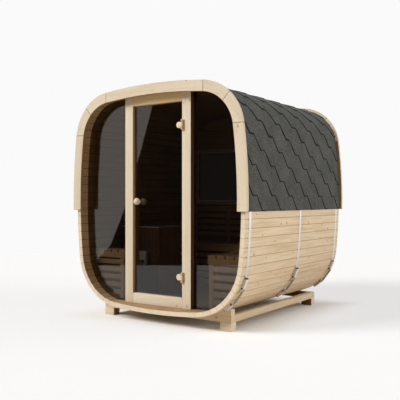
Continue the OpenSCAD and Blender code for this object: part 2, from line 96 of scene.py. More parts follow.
def up_the_side(run, height):
    """Point in X-Z at a run from the arch's lower end towards the ridge, at a height over the staves."""
    if run <= SIDE_LEN:
        ang = START_ANG + run / SIDE_R
        cx, cz, r = -SIDE_OFF, 0.0, SIDE_R
    elif run <= SIDE_LEN + CORNER_LEN:
        ang = SIDE_ANG + (run - SIDE_LEN) / CORNER_R
        cx, cz, r = CORNER_X, CORNER_Z, CORNER_R
    else:
        ang = math.pi / 2 - TOP_ANG + (run - SIDE_LEN - CORNER_LEN) / SIDE_R
        cx, cz, r = 0.0, -TOP_OFF, SIDE_R
    return cx + (r + height) * math.cos(ang), MID_Z + cz + (r + height) * math.sin(ang)


def inside_half(z):
    """Half width of the room at a height."""
    dz = abs(z - MID_Z)
    cx, cz, r = (CORNER_X, CORNER_Z, CORNER_R) if z > MID_Z else (LOW_X, LOW_Z, LOW_CORNER_R)
    edge = (SIDE_R - STAVE_T) * math.sin(math.atan2(cz, cx + SIDE_OFF))
    if dz <= edge:
        return -SIDE_OFF + math.sqrt((SIDE_R - STAVE_T) ** 2 - dz**2)
    reach = (r - STAVE_T) ** 2 - (dz - cz) ** 2
    return cx + math.sqrt(max(reach, 0.0))


def floor_under(x):
    """Height of the deck or, past its edge, of the staves."""
    past = abs(x) - LOW_X
    if past <= 0:
        return DECK_TOP
    drop = math.sqrt(max((LOW_CORNER_R - STAVE_T) ** 2 - past**2, 0.0))
    return max(DECK_TOP, MID_Z - LOW_Z - drop + STAVE_FIT)


def wall_at(z):
    """How far out the boards of the room reach at a height, with room to fit."""
    return inside_half(z) - WALL_FIT


# Shader building


class Shader:
    """The node tree of a material or of the world, built socket by socket."""

    def __init__(self, owner, output="OutputMaterial"):
        owner.use_nodes = True
        self.owner = owner
        self.tree = owner.node_tree
        self.tree.nodes.clear()
        self.out = self.node(output)

    def node(self, kind, settings=None, **inputs):
        """A node with its settings and with a value or a link for each input."""
        made = self.tree.nodes.new("ShaderNode" + kind)
        for key, value in (settings or {}).items():
            setattr(made, key, value)
        for key, value in inputs.items():
            self.feed(made.inputs[key.replace("_", " ")], value)
        return made

    def feed(self, socket, value):
        """Links a socket, or sets its constant."""
        if isinstance(value, bpy.types.NodeSocket):
            self.tree.links.new(value, socket)
        else:
            socket.default_value = value

    def math(self, operation, a, b=0.0, c=0.0, clamp=False):
        """One sum of up to three values."""
        made = self.node("Math", {"operation": operation, "use_clamp": clamp})
        for socket, value in zip(made.inputs, (a, b, c)):
            self.feed(socket, value)
        return made.outputs[0]

    def ramp(self, value, low, high):
        """0 at low and 1 at high, smoothed."""
        made = self.node("MapRange", {"interpolation_type": "SMOOTHSTEP"})
        for key, v in (("Value", value), ("From Min", low), ("From Max", high)):
            self.feed(made.inputs[key], v)
        return made.outputs["Result"]

    def mix(self, factor, a, b, blend="MIX"):
        """Two colours mixed."""
        made = self.node("Mix", {"data_type": "RGBA", "blend_type": blend}, Factor=factor)
        self.feed(made.inputs[6], a)
        self.feed(made.inputs[7], b)
        return made.outputs[2]

    def mix_shaders(self, factor, a, b):
        """Two surfaces mixed."""
        made = self.node("MixShader", Fac=factor)
        self.feed(made.inputs[1], a)
        self.feed(made.inputs[2], b)
        return made.outputs[0]

    def scaled(self, vector, x, y):
        """A flat map, packed closer along its two directions."""
        return self.node("Mapping", Vector=vector, Scale=(x, y, 1.0)).outputs[0]

    def noise(self, vector, scale, detail=2.0, rough=0.5, dims="3D"):
        """Soft clouds from 0 to 1."""
        kind = {"noise_dimensions": dims}
        made = self.node("TexNoise", kind, Vector=vector, Scale=scale, Detail=detail, Roughness=rough)
        return made.outputs["Fac"]

    def bump(self, height, strength, distance):
        """A normal for fine relief."""
        return self.node("Bump", Height=height, Strength=strength, Distance=distance).outputs[0]

    def seen(self):
        """1 where the camera looks at the studio straight, in a sheen or through a pane."""
        path = self.node("LightPath").outputs
        straight = self.math("MAXIMUM", path["Is Camera Ray"], path["Is Glossy Ray"])
        return self.math("MAXIMUM", straight, path["Is Transmission Ray"])

    def finish(self, shader):
        """Ends the tree at its output and gives the material or world."""
        self.feed(self.out.inputs["Surface"], shader)
        return self.owner

    def surface(self, **inputs):
        """Ends the tree in a solid surface."""
        return self.finish(self.node("BsdfPrincipled", **inputs).outputs[0])


def new_finish(name):
    """The empty tree of a new material."""
    return Shader(bpy.data.materials.new(name))


def rgba(r, g, b):
    """A full colour."""
    return (r, g, b, 1.0)


def shades(base, low, high):
    """A darker and a lighter shade of a colour."""
    return [rgba(*[min(c * k, 1.0) for c in base]) for k in (low, high)]


def spruce(name, pale, deep, knot=(0.1, 0.05, 0.02), knots=0.0, spread=0.14):
    """Planed spruce: soft streaks along the board, fine grain, small knots, a tone for each board."""
    s = new_finish(name)
    board = s.node("UVMap", {"uv_map": "board"}).outputs[0]
    tone = s.node("Attribute", {"attribute_name": "tone"}).outputs["Fac"]
    wander = s.noise(s.scaled(board, 1.6, 7.0), 1.0, 2.0, 0.5, "2D")
    parts = s.node("SeparateXYZ", Vector=board)
    along, across = parts.outputs[0], parts.outputs[1]
    bent = s.math("MULTIPLY_ADD", wander, 0.03, across)
    bent_map = s.node("CombineXYZ", X=along, Y=bent).outputs[0]
    streak = s.noise(s.scaled(bent_map, 2.2, 42.0), 1.0, 4.0, 0.65, "2D")
    figure = s.noise(s.scaled(bent_map, 1.3, 13.0), 1.0, 2.0, 0.5, "2D")
    grain = s.noise(s.scaled(bent_map, 5.0, 260.0), 1.0, 2.0, 0.6, "2D")
    rings = s.math("SINE", s.math("MULTIPLY", bent, 520.0))
    late = s.math("MULTIPLY", s.ramp(rings, 0.2, 1.0), s.ramp(streak, 0.35, 0.7))
    depth = s.math("MULTIPLY_ADD", s.ramp(streak, 0.3, 0.75), 0.45, s.math("MULTIPLY", grain, 0.25))
    depth = s.math("MULTIPLY_ADD", late, 0.22, depth)
    depth = s.math("MULTIPLY_ADD", s.ramp(figure, 0.45, 0.75), 0.4, depth, clamp=True)
    wood = s.mix(depth, rgba(*pale), rgba(*deep))
    shade = s.math("MULTIPLY_ADD", tone, spread, 1.0 - spread / 2)
    grey = s.node("CombineColor", Red=shade, Green=shade, Blue=shade).outputs[0]
    wood = s.mix(1.0, wood, grey, "MULTIPLY")
    cells = s.node("TexVoronoi", {"voronoi_dimensions": "2D"}, Vector=s.scaled(board, 7.0, 8.0), Scale=1.0)
    pick = s.node("SeparateColor", Color=cells.outputs["Color"])
    has_knot = s.math("GREATER_THAN", pick.outputs[0], 1.0 - 0.6 * knots)
    size = s.math("MULTIPLY_ADD", pick.outputs[1], 0.035, 0.025)
    rim = s.math("MULTIPLY", size, 2.4)
    core = s.math("MULTIPLY", has_knot, s.ramp(cells.outputs["Distance"], rim, size))
    wood = s.mix(s.math("MULTIPLY", core, 0.65), wood, rgba(*knot))
    rough = s.math("MULTIPLY_ADD", grain, 0.15, 0.52)
    relief = s.bump(grain, 0.2, 0.0006)
    return s.surface(Base_Color=wood, Roughness=rough, Specular_IOR_Level=0.25, Normal=relief)


def bitumen(name, pale, deep):
    """Mineral granules on bitumen felt."""
    s = new_finish(name)
    place = s.node("TexCoord").outputs["Object"]
    granule = s.noise(place, 420.0, 2.0, 0.7)
    fleck = s.noise(place, 90.0, 2.0, 0.7)
    patch = s.noise(place, 5.0, 3.0, 0.5)
    mixed = s.math("MULTIPLY", s.ramp(granule, 0.35, 0.65), 0.35)
    mixed = s.math("MULTIPLY_ADD", s.ramp(fleck, 0.4, 0.6), 0.5, mixed)
    mixed = s.math("MULTIPLY_ADD", s.ramp(patch, 0.35, 0.65), 0.16, mixed, clamp=True)
    colour = s.mix(mixed, rgba(*deep), rgba(*pale))
    relief = s.bump(granule, 0.5, 0.0012)
    return s.surface(Base_Color=colour, Roughness=0.9, Specular_IOR_Level=0.2, Normal=relief)


def metal(name, base, rough, metallic):
    """Sheet metal or enamel with a faint cloud in its sheen."""
    s = new_finish(name)
    place = s.node("TexCoord").outputs["Object"]
    cloud = s.noise(place, 60.0, 3.0, 0.6)
    colour = s.mix(cloud, *shades(base, 0.88, 1.08))
    sheen = s.math("MULTIPLY_ADD", cloud, 0.16, rough - 0.08)
    return s.surface(Base_Color=colour, Metallic=metallic, Roughness=sheen)


def rock(name, base):
    """Rough cloudy stone."""
    s = new_finish(name)
    place = s.node("TexCoord").outputs["Object"]
    cloud = s.noise(place, 40.0, 4.0, 0.65)
    colour = s.mix(cloud, *shades(base, 0.5, 1.4))
    relief = s.bump(cloud, 0.6, 0.004)
    return s.surface(Base_Color=colour, Roughness=0.85, Normal=relief)


GLASS_INDEX = 1.5


def tinted_glass(name, tint):
    """Flat tinted glass: a clear sheen over a dark see-through body."""
    s = new_finish(name)
    place = s.node("TexCoord").outputs["Object"]
    cloud = s.noise(place, 1.5, 1.0, 0.5)
    body = s.mix(cloud, *shades(tint, 0.98, 1.02))
    back = s.node("NewGeometry").outputs["Backfacing"]
    index = s.math("MULTIPLY_ADD", back, 1 / GLASS_INDEX - GLASS_INDEX, GLASS_INDEX)
    sheen = s.node("Fresnel", IOR=index).outputs[0]
    through = s.node("BsdfTransparent", Color=body).outputs[0]
    gloss = s.node("BsdfAnisotropic", Color=rgba(0.92, 0.92, 0.92), Roughness=0.0).outputs[0]
    return s.finish(s.mix_shaders(sheen, through, gloss))


STAVE_SPRUCE = spruce(
    "stave_spruce", (0.765, 0.645, 0.47), (0.61, 0.44, 0.265), (0.4, 0.2, 0.085), 0.85, 0.07,
)
TRIM_SPRUCE = spruce("trim_spruce", (0.69, 0.6, 0.468), (0.61, 0.5, 0.365), (0.42, 0.25, 0.12), 0.25, 0.05)
# Browner header: painted shade from the arch's overhang.
HEADER_SHADE_SPRUCE = spruce("header_painted_shade", (0.64, 0.47, 0.27), (0.54, 0.38, 0.2), (0.34, 0.17, 0.07), 0.5, 0.05)
CRADLE_SPRUCE = spruce(
    "cradle_spruce", (0.69, 0.56, 0.39), (0.56, 0.42, 0.26), (0.32, 0.16, 0.065), 0.6, 0.06,
)
# Dark brown painted shade for the cradle's faces that look under the cabin.
CRADLE_SHADE_SPRUCE = spruce("cradle_painted_shade", (0.24, 0.12, 0.045), (0.18, 0.085, 0.03), (0.1, 0.05, 0.02), 0.3, 0.06)
STAVE_END_FACE = spruce("stave_end_face", (0.73, 0.63, 0.485), (0.65, 0.54, 0.39), spread=0.06)
STAVE_JOINT = spruce("stave_joint", (0.5, 0.34, 0.18), (0.4, 0.25, 0.12))
# Near-black: the arches' dark mitre joints, and painted shadow beside the bands.
ARCH_JOINT_AND_SHADOW = spruce("arch_joint_and_band_shadow", (0.07, 0.035, 0.015), (0.045, 0.02, 0.009))
# Darker brown room side: painted shade inside the cabin; its joints are dark joints deepened by the same
# painted shade.
ROOM_SHADE_SPRUCE = spruce("room_painted_shade", (0.39, 0.25, 0.125), (0.31, 0.185, 0.085), (0.26, 0.12, 0.05), 0.4, 0.1)
ROOM_SHADE_JOINT = spruce("room_joint_painted_shade", (0.13, 0.07, 0.033), (0.09, 0.045, 0.02))
# Brown painted shade for the arches' inner faces, the rear arch's front faces and the left jamb's sides.
REVEAL_SHADE_SPRUCE = spruce(
    "reveal_painted_shade", (0.4, 0.25, 0.125), (0.33, 0.195, 0.09), (0.26, 0.12, 0.05), 0.3, 0.05,
)
# Near-black painted shade for the right jamb's sides and the gaps between the seat boards.
JAMB_AND_GAP_SHADE = spruce("jamb_and_seat_gap_painted_shade", (0.1, 0.045, 0.016), (0.06, 0.026, 0.009))
BENCH_SPRUCE = spruce("bench_spruce", (0.7, 0.47, 0.265), (0.56, 0.355, 0.185), (0.24, 0.11, 0.04), 0.6)
# Near-white painted light for the front ledge, which lies in shade.
LEDGE_LIGHT_SPRUCE = spruce("ledge_painted_light", (0.93, 0.87, 0.77), (0.88, 0.8, 0.68))
# Guard reeds: a darker copy for faces that look to the front, painted shade, and a lighter copy for their
# sides, painted light.
GUARD_SHADE_WOOD = spruce("guard_front_painted_shade", (0.125, 0.066, 0.024), (0.095, 0.048, 0.016))
REED_SIDE_LIGHT_WOOD = spruce("reed_side_painted_light", (0.42, 0.235, 0.095), (0.3, 0.155, 0.06))
TURNED_WOOD = spruce("turned_wood", (0.74, 0.62, 0.45), (0.65, 0.51, 0.34))
BLOCK_WOOD = spruce("block_wood", (0.62, 0.43, 0.23), (0.52, 0.34, 0.16))
CAP_STEEL = metal("cap_steel", (0.86, 0.86, 0.84), 0.4, 0.2)
SHINGLE_FACE = bitumen("shingle_face", (0.125, 0.129, 0.12), (0.02, 0.021, 0.019))
# Near-black: the shingles' own dark edges, and painted shadow in the rims along the tabs.
SHINGLE_EDGE_AND_SHADOW = bitumen("shingle_edge_and_painted_shadow", (0.012, 0.012, 0.011), (0.005, 0.005, 0.005))
BAND_STEEL = metal("band_steel", (0.66, 0.66, 0.65), 0.32, 1.0)
COVER_STEEL = metal("cover_steel", (0.74, 0.73, 0.71), 0.45, 0.4)
BRACKET_STEEL = metal("bracket_steel", (0.66, 0.6, 0.52), 0.4, 0.35)
# Black for the bolts, and painted shade in the brackets' open ends.
BOLT_AND_SHADE_BLACK = metal("bolt_black_and_painted_shade", (0.008, 0.008, 0.008), 0.7, 0.0)
TENSION_STEEL = metal("tension_steel", (0.3, 0.26, 0.215), 0.4, 1.0)
NAIL_STEEL = metal("nail_steel", (0.42, 0.28, 0.17), 0.5, 0.5)
HEATER_BLACK = metal("heater_black", (0.03, 0.03, 0.032), 0.45, 0.3)
CONTROL_GREY = metal("control_grey", (0.62, 0.65, 0.68), 0.4, 0.0)
STONE = rock("heater_stone", (0.17, 0.165, 0.16))
TINTED = tinted_glass("tinted_glass", (0.6, 0.585, 0.56))
DARK_TINTED = tinted_glass("dark_tinted_glass", (0.12, 0.11, 0.1))

# Mesh helpers


def node_copy(name):
    """A CAD node's surface as a clean mesh with flat faces joined."""
    bm = bmesh.new()
    bm.from_mesh(nodes[name].data)
    bmesh.ops.remove_doubles(bm, verts=bm.verts, dist=1e-5)
    bmesh.ops.dissolve_limit(bm, angle_limit=math.radians(0.3), verts=bm.verts, edges=bm.edges)
    return bm


def everything(bm):
    """All the geometry of a mesh."""
    return bm.verts[:] + bm.edges[:] + bm.faces[:]


def join_into(bm, part):
    """Adds a part to a mesh and frees the part."""
    mesh = bpy.data.meshes.new("part")
    part.to_mesh(mesh)
    part.free()
    bm.from_mesh(mesh)
    bpy.data.meshes.remove(mesh)


def cut_off(bm, point, outward):
    """Cuts off what lies past a plane and closes the cut."""
    bmesh.ops.bisect_plane(
        bm, geom=everything(bm), dist=1e-6, plane_co=point, plane_no=outward, clear_outer=True,
    )
    rim = [e for e in bm.edges if e.is_boundary]
    if rim:
        bmesh.ops.holes_fill(bm, edges=rim, sides=0)


def middle_of(group):
    """Mean place of some vertices."""
    return sum((v.co for v in group), Vector()) / len(group)


def faces_of(group):
    """The faces of a solid, each once."""
    return list(dict.fromkeys(f for v in group for f in v.link_faces))


def long_axis(group):
    """Direction in which a solid is longest, with its main part positive."""
    co = np.array([v.co for v in group])
    axis = Vector(np.linalg.svd(co - co.mean(0), full_matrices=False)[2][0])
    return axis if max(axis, key=abs) > 0 else -axis


def solids_of(bm):
    """Lists of the vertices of each separate solid, in order of place."""
    seen = set()
    groups = []
    for first in bm.verts:
        if first in seen:
            continue
        seen.add(first)
        group = []
        reached = [first]
        while reached:
            v = reached.pop()
            group.append(v)
            for e in v.link_edges:
                other = e.other_vert(v)
                if other not in seen:
                    seen.add(other)
                    reached.append(other)
        groups.append(group)
    return sorted(groups, key=lambda g: tuple(round(c, 4) for c in middle_of(g)))


def solid_boxes(name):
    """Lowest and highest corner of each solid in a CAD node."""
    bm = node_copy(name)
    boxes = []
    for group in solids_of(bm):
        co = np.array([v.co for v in group])
        boxes.append((Vector(co.min(0)), Vector(co.max(0))))
    bm.free()
    return boxes


def ease_edges(bm, width, segments=2, sharper=35.0):
    """Rounds the sharp outer edges."""
    sharp = [e for e in bm.edges if len(e.link_faces) == 2 and e.calc_face_angle(0.0) > math.radians(sharper)]
    bmesh.ops.bevel(
        bm, geom=sharp, offset=width, offset_type="OFFSET", segments=segments, profile=0.5,
        affect="EDGES", material=-1, clamp_overlap=True,
    )


MAP_SHIFT = 30


def mark_boards(bm, seed, grain=None):
    """Gives each solid a map along its grain and a tone of its own."""
    uv = bm.loops.layers.uv.new("board")
    tone = bm.faces.layers.float.new("tone")
    rng = random.Random(seed)
    bm.normal_update()
    for group in solids_of(bm):
        axis = Vector(grain) if grain else long_axis(group)
        axis.normalize()
        shift = Vector((rng.uniform(-MAP_SHIFT, MAP_SHIFT), rng.uniform(-MAP_SHIFT, MAP_SHIFT)))
        shade = rng.random()
        for f in faces_of(group):
            f[tone] = shade
            across = f.normal.cross(axis)
            along = axis
            if across.length < 0.5:
                across = axis.orthogonal().normalized()
                along = axis.cross(across)
            else:
                across.normalize()
            for loop in f.loops:
                loop[uv].uv = Vector((loop.vert.co.dot(along), loop.vert.co.dot(across))) + shift


def piece(name, bm, materials, replaced=(), smooth_deg=28.0, body="cabin"):
    """Makes the mesh an object that rides on a body."""
    mesh = bpy.data.meshes.new(name)
    bm.to_mesh(mesh)
    bm.free()
    if "custom_normal" in mesh.attributes:
        mesh.attributes.remove(mesh.attributes["custom_normal"])
    for m in materials:
        mesh.materials.append(m)
    mesh.shade_smooth()
    mesh.set_sharp_from_angle(angle=math.radians(smooth_deg))
    ob = bpy.data.objects.new(name, mesh)
    scene.collection.objects.link(ob)
    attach(ob, body)
    if replaced:
        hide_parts(*replaced)


# Places in the list of finishes of a stave or an arch, and the second place on any other piece
PLAIN, JOINT, ROOM, ROOM_JOINT, END, REAR_LEDGE = range(6)
FACED = 1
STAVE_FINISHES = [STAVE_SPRUCE, STAVE_JOINT, ROOM_SHADE_SPRUCE, ROOM_SHADE_JOINT, STAVE_END_FACE]
LEDGE_FINISHES = [STAVE_SPRUCE, STAVE_JOINT, LEDGE_LIGHT_SPRUCE, STAVE_JOINT, STAVE_END_FACE, ROOM_SHADE_SPRUCE]
# The third finish of an arch is painted shade.
ARCH_FINISHES = [TRIM_SPRUCE, ARCH_JOINT_AND_SHADOW, REVEAL_SHADE_SPRUCE]


def groove_ends(bm):
    """A fine rim on each face that looks to the front or the rear."""
    bm.normal_update()
    ends = [f for f in bm.faces if abs(f.normal.y) > 0.95]
    return set(bmesh.ops.inset_individual(bm, faces=ends, thickness=END_GROOVE, depth=0.0)["faces"])


def spoke_at(f):
    """Direction from the cabin's middle line out to a face."""
    centre = f.calc_center_median()
    return Vector((centre.x, 0.0, centre.z - MID_Z)).normalized()


def longest_edge(f):
    """Direction and length of a face's longest edge."""
    edge = max(f.edges, key=lambda e: e.calc_length())
    return (edge.verts[1].co - edge.verts[0].co).normalized(), edge.calc_length()


def stave_normal(faces):
    """The way that a stave's broad side looks, in or out."""
    broad = max((f for f in faces if abs(f.normal.y) < 0.5), key=lambda f: f.calc_area())
    return broad.normal.copy()


def sort_staves(bm, rims):
    """Closes the joints between staves and sorts the faces by finish; the room-side faces take the list's
    room finish, painted shade on the walls and painted light on the front ledge.
    """
    for group in solids_of(bm):
        faces = faces_of(group)
        out = stave_normal(faces)
        joint = [f for f in faces if abs(f.normal.y) < 0.5 and abs(f.normal.dot(out)) < 0.95]
        for f in joint:
            if abs(f.normal.dot(out)) < 0.3:
                bmesh.ops.translate(bm, verts=f.verts, vec=f.normal * JOINT_CLOSE)
        for f in faces:
            inward = -f.normal.dot(spoke_at(f))
            if f in joint:
                f.material_index = ROOM_JOINT if inward > 0.2 else JOINT
            elif inward > 0.7:
                f.material_index = ROOM
            elif abs(f.normal.y) > 0.7:
                run, length = longest_edge(f)
                f.material_index = JOINT if f in rims and abs(run.dot(out)) > 0.7 else END


def mark_staves(bm):
    """Finishes of the staves, with grooves between their ends."""
    sort_staves(bm, groove_ends(bm))


def mark_underside(bm):
    """Finishes of the lowest staves, whose room side is whitened at the front as painted light and takes the
    painted-shade room finish at the rear.
    """
    bm.normal_update()
    sort_staves(bm, set())
    bmesh.ops.bisect_plane(bm, geom=everything(bm), dist=1e-6, plane_co=(0, 0, 0), plane_no=ALONG)
    for f in bm.faces:
        if f.material_index == ROOM and f.calc_center_median().y > 0:
            f.material_index = REAR_LEDGE


def mark_arch(bm):
    """Dark mitres between the boards of an arch, and painted shade on its inner faces and on the rear arch's
    front faces below its corners.
    """
    rims = groove_ends(bm)
    for group in solids_of(bm):
        axis = long_axis(group)
        for f in faces_of(group):
            spoke = spoke_at(f)
            centre = f.calc_center_median()
            run, length = longest_edge(f)
            rear_shade_face = f.normal.y < -0.7 and centre.y > 0 and centre.z < ARCH_CORNER_Z
            if abs(f.normal.dot(axis)) > 0.42 or f in rims and abs(run.dot(spoke)) > 0.75 and length < 0.2:
                f.material_index = JOINT
            elif -f.normal.dot(spoke) > 0.7 or rear_shade_face:
                f.material_index = ROOM


def mark_cheeks(bm):
    """The sides of a jamb, which take a painted-shade finish."""
    bm.normal_update()
    for f in bm.faces:
        if abs(f.normal.x) > 0.9:
            f.material_index = FACED


def mark_cradle_shade(bm):
    """Painted shade on the cradle's faces that look under the cabin from its far side."""
    bm.normal_update()
    for f in bm.faces:
        centre = f.calc_center_median()
        if f.normal.y < -0.7 and centre.y > 0 or f.normal.x > 0.7 and centre.x < 0:
            f.material_index = FACED


def timber(node, finishes, seed, ease, grain=None, body="cabin", mark=None):
    """The timber of a CAD node with eased edges and grain, and its faces sorted by finish."""
    bm = node_copy(node)
    if ease:
        ease_edges(bm, ease)
    for f in bm.faces:
        f.material_index = PLAIN
    if mark:
        mark(bm)
    mark_boards(bm, seed, grain)
    piece(node + "_timber", bm, finishes, [node], body=body)


def add_box(bm, low, high):
    """A plain box between two corners."""
    size = Vector(high) - Vector(low)
    middle = (Vector(high) + Vector(low)) / 2
    place = Matrix.Translation(middle) @ Matrix.Diagonal((*size, 1.0))
    return bmesh.ops.create_cube(bm, size=1.0, matrix=place)["verts"]


def add_disc(bm, radius, depth, place, segments):
    """A round flat disc or rod along its own Z."""
    bmesh.ops.create_cone(
        bm, cap_ends=True, segments=segments, radius1=radius, radius2=radius, depth=depth, matrix=place,
    )


def facing_front(place):
    """A place turned so that its Z looks along the cabin."""
    return Matrix.Translation(place) @ Matrix.Rotation(math.pi / 2, 4, "X")


SAWN_EASE = 0.0018


def sawn_boards(node, across, start, pitch, gap, finish, seed, grain):
    """A CAD node sawn into parallel boards with a fine gap between them."""
    whole = node_copy(node)
    axis = Vector(across)
    level = [v.co.dot(axis) for v in whole.verts]
    low, high = min(level), max(level)
    boards = bmesh.new()
    k = math.floor((low - start) / pitch)
    while start + k * pitch < high:
        lo = start + k * pitch + gap / 2
        hi = start + (k + 1) * pitch - gap / 2
        board = whole.copy()
        for cut, side in ((lo, -1), (hi, 1)):
            if low < cut < high:
                cut_off(board, axis * cut, axis * side)
        if board.faces and hi > low and lo < high:
            join_into(boards, board)
        else:
            board.free()
        k += 1
    whole.free()
    bmesh.ops.recalc_face_normals(boards, faces=boards.faces)
    ease_edges(boards, SAWN_EASE, 1)
    mark_boards(boards, seed, grain)
    # Faces that look to the front take the room's painted-shade finish.
    for f in boards.faces:
        f.material_index = FACED if f.normal.y < -0.7 else PLAIN
    piece(node + "_boards", boards, [finish, ROOM_SHADE_SPRUCE], [node])


# Staves, arches, frame and cradle

TRIM_EASE = 0.0022
TRIM_PIECES = {
    "left_jamb": ([TRIM_SPRUCE, REVEAL_SHADE_SPRUCE], None, mark_cheeks),
    "right_jamb": ([TRIM_SPRUCE, JAMB_AND_GAP_SHADE], None, mark_cheeks),
    "door_header": ([HEADER_SHADE_SPRUCE], None, None),
    "door_sill": ([TRIM_SPRUCE], None, None),
    "window_frame": ([TRIM_SPRUCE], None, None),
    # The cradle's second finish is painted shade on its faces under the cabin.
    "crossbeams": ([CRADLE_SPRUCE, CRADLE_SHADE_SPRUCE], LEVEL, mark_cradle_shade),
    "saddles": ([CRADLE_SPRUCE], LEVEL, None),
    "side_rails": ([CRADLE_SPRUCE, CRADLE_SHADE_SPRUCE], None, mark_cradle_shade),
    "feet": ([TRIM_SPRUCE, CRADLE_SHADE_SPRUCE], None, mark_cradle_shade),
}
WALL_BOARD = 0.0835
WALL_BOARD_FOOT = 0.1765
WALL_BOARD_GAP = 0.0008
DECK_BOARD = 0.095
DECK_BOARD_GAP = 0.001
NAIL_RUNS = (0.06, 0.37, 0.69, 0.83, 0.98, 1.12, 1.27, 1.41, 1.66, 1.9)
NAIL_ROWS = (0.03, 0.072)
NAIL_R = 0.0028
NAIL_HEAD = 0.0008
NAIL_LIFT = 0.0002

for seed, wall in enumerate((
    "left_wall", "right_wall", "ceiling", "underside", "upper_left_corner",
    "upper_right_corner", "lower_left_corner", "lower_right_corner",
), 100):
    if wall == "underside":
        timber(wall, LEDGE_FINISHES, seed, 0.0, ALONG, mark=mark_underside)
    else:
        timber(wall, STAVE_FINISHES, seed, 0.0, ALONG, mark=mark_staves)

for seed, arch in enumerate((
    "front_arch_top", "front_arch_sides", "front_arch_corners",
    "rear_arch_top", "rear_arch_sides", "rear_arch_corners",
), 200):
    timber(arch, ARCH_FINISHES, seed, TRIM_EASE, mark=mark_arch)

for seed, (part, (finishes, grain, mark)) in enumerate(TRIM_PIECES.items(), 300):
    timber(part, finishes, seed, TRIM_EASE, grain, mark=mark)

timber("hinge_blocks", [BLOCK_WOOD], 330, 0.0012, UPRIGHT)
timber("hinge_discs", [TURNED_WOOD], 331, 0.003, UPRIGHT, "door")
timber("door_knobs", [TURNED_WOOD], 332, 0.0, UPRIGHT, "door")

for seed, wall in enumerate(("rear_wall_lower", "rear_wall_upper", "rear_wall_sides"), 340):
    sawn_boards(wall, UPRIGHT, WALL_BOARD_FOOT, WALL_BOARD, WALL_BOARD_GAP, STAVE_SPRUCE, seed, LEVEL)
# The deck is in the room's painted-shade finish.
sawn_boards("floor_deck", LEVEL, -DECK_BOARD / 2, DECK_BOARD, DECK_BOARD_GAP, ROOM_SHADE_SPRUCE, 343, ALONG)


def arch_nails():
    """Small nail heads in pairs along both arches."""
    bm = bmesh.new()
    for end in (-1, 1):
        y = end * (STAVE_END + ARCH_T + NAIL_LIFT)
        for side in (-1, 1):
            for run in NAIL_RUNS:
                for row in NAIL_ROWS:
                    x, z = up_the_side(run, ARCH_OUT - row)
                    add_disc(bm, NAIL_R, NAIL_HEAD, facing_front((side * x, y, z)), 10)
    piece("arch_nails", bm, [NAIL_STEEL])


arch_nails()

# Shingles

ROW = 0.134
TAB = 0.343
TAB_FOOT = 0.076
TAB_PHASE = -0.873
LIFT = 0.0092
LAYER = 0.0052
LAP = 0.03
TAB_LIP = 0.003
TAB_SHADOW_RIM = 0.0095
LEAST_LIFT = 0.0024
FELT_FIT = 0.0006
RIDGE_FIT = 0.001
CAP_LONG = 0.27
CAP_STEP = 0.225
CAP_HALF = 0.13
CAP_T = 0.0022
CAP_TILT = 0.0024
# Wider painted-shadow rims on these rows
SHADOW_RIM_ROWS = {1: 0.0115, 5: 0.017, 6: 0.0125, 7: 0.017, 8: 0.017, 9: 0.017}


def flat_row(sheet, shift, foot, shadow_rim_width):
    """A strip with hexagonal tabs, drawn flat: X along the cabin, Y up the roof, Z off the staves."""
    half = TAB_FOOT / 2
    wide = TAB / 2 - half
    shoulder, top = foot + ROW, foot + 2 * ROW + LAP

    def quad(*corners):
        """A flat face of the strip."""
        sheet.faces.new([sheet.verts.new((x, y, 0.0)) for x, y in corners])

    k = math.floor((-STAVE_END - shift) / TAB) - 1
    while shift + k * TAB < STAVE_END + TAB:
        m = shift + k * TAB
        quad((m - half, foot), (m + half, foot), (m + wide, shoulder), (m - wide, shoulder))
        quad((m - wide, shoulder), (m + wide, shoulder), (m + wide, top), (m - wide, top))
        quad((m + wide, shoulder), (m + TAB - wide, shoulder), (m + TAB - wide, top), (m + wide, top))
        k += 1
    bmesh.ops.remove_doubles(sheet, verts=sheet.verts, dist=1e-5)
    # A dark rim along each tab's foot and front-looking slanted edges is painted shadow.
    rim = bmesh.ops.inset_region(
        sheet, faces=sheet.faces[:], thickness=shadow_rim_width, use_boundary=True, use_even_offset=True,
    )["faces"]
    for f in rim:
        edge = next((e for e in f.edges if e.is_boundary), None)
        if edge:
            out = (edge.verts[0].co + edge.verts[1].co) / 2 - f.calc_center_median()
            f.material_index = FACED if out.x < 0.3 * out.length and out.y < 0 else PLAIN
    raised = bmesh.ops.extrude_face_region(sheet, geom=sheet.faces[:])["geom"]
    for v in raised:
        if isinstance(v, bmesh.types.BMVert):
            v.co.z = LAYER
    sheet.normal_update()
    lip = [
        e for e in sheet.edges
        if max(v.co.y for v in e.verts) < shoulder + 1e-4 and min(v.co.z for v in e.verts) > LAYER / 2
        and e.calc_face_angle(0.0) > 1.0
    ]
    bmesh.ops.bevel(
        sheet, geom=lip, offset=TAB_LIP, offset_type="OFFSET", segments=1, profile=0.5,
        affect="EDGES", material=-1,
    )
    y = foot + ROW / 4
    while y < top - 0.01:
        bmesh.ops.bisect_plane(sheet, geom=everything(sheet), dist=1e-6, plane_co=(0, y, 0), plane_no=ALONG)
        y += ROW / 4


